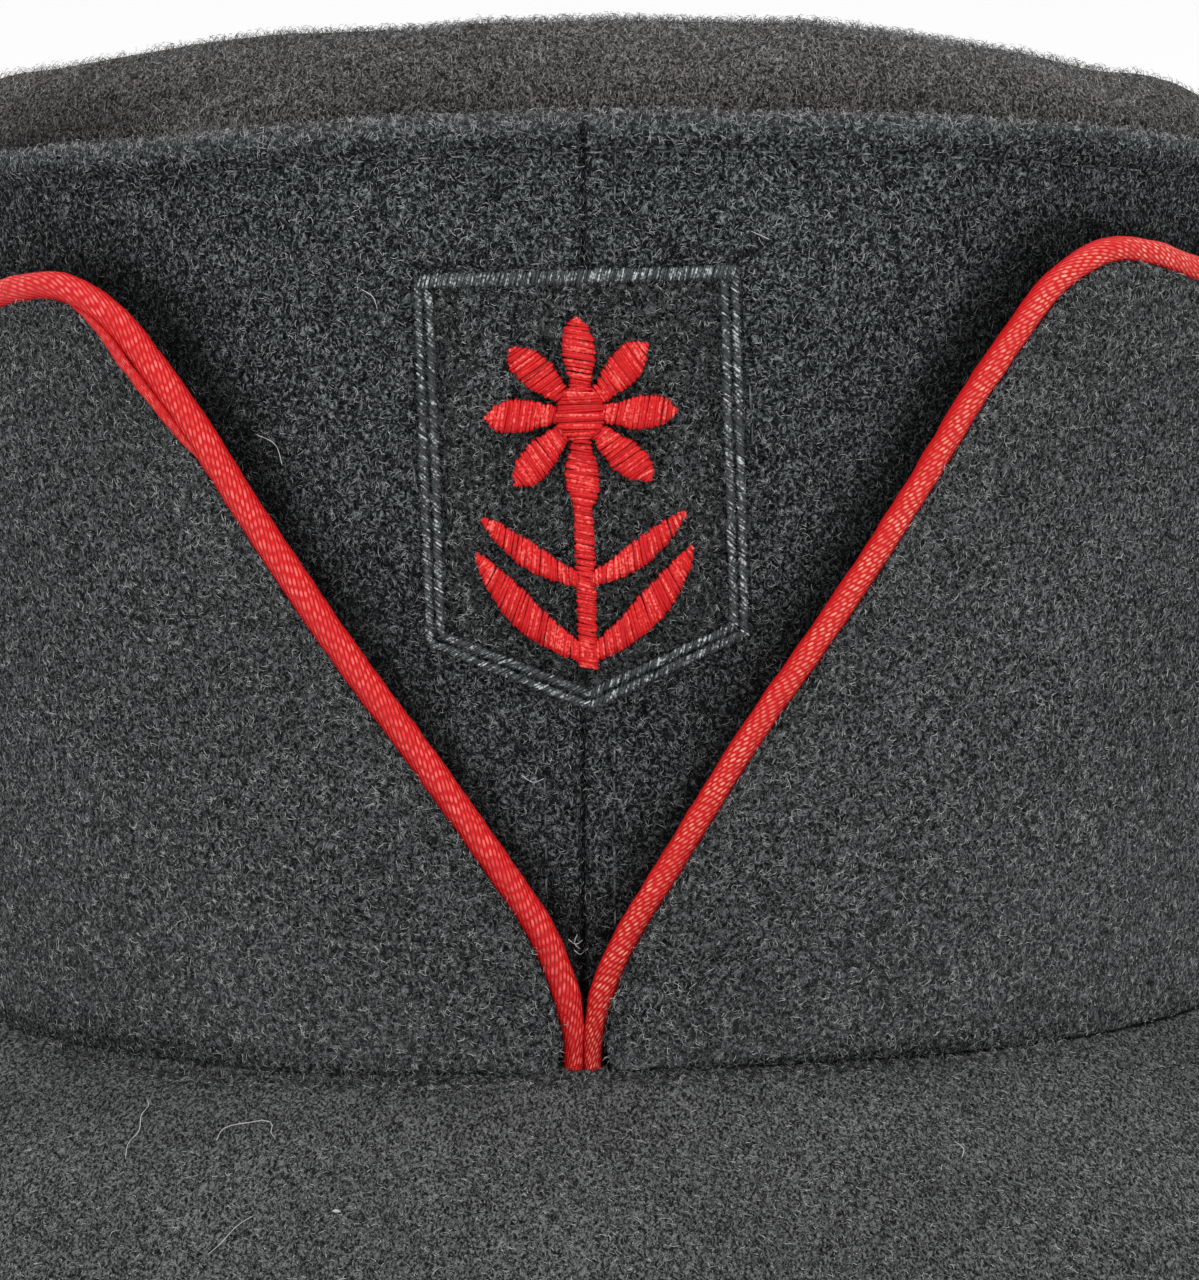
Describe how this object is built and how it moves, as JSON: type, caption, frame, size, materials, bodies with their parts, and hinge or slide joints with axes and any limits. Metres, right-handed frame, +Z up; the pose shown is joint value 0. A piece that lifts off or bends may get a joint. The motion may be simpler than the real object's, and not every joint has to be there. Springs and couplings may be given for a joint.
{
  "type": "mazepinka cap",
  "caption": "Tall round felt field cap with a domed top, a turned-up cuff notched in a V at the front and edged with cord, a short peak and an embroidered shield patch.",
  "frame": {"origin": "on the table, under the middle of the cap's bounding box", "axes": "+Z up, the peak and the patch face -Y, +X to the right as seen from the front"},
  "size_m": [0.1914, 0.2702, 0.1273],
  "materials": {
    "crown_felt": "matt black melton felt",
    "cuff_felt": "matt grey-black melton felt",
    "red_cord": "red satin piping cord",
    "patch_felt": "matt black felt",
    "grey_thread": "grey satin stitch",
    "red_thread": "red satin stitch"
  },
  "bodies": {
    "root": {"crown_side_left": "crown_felt", "crown_side_right": "crown_felt", "crown_top": "crown_felt", "cuff_left": "cuff_felt", "cuff_right": "cuff_felt", "piping_left": "red_cord", "piping_right": "red_cord", "peak": "cuff_felt", "patch_ground": "patch_felt", "patch_border": "grey_thread", "patch_flower": "red_thread"}
  },
  "joints": []
}
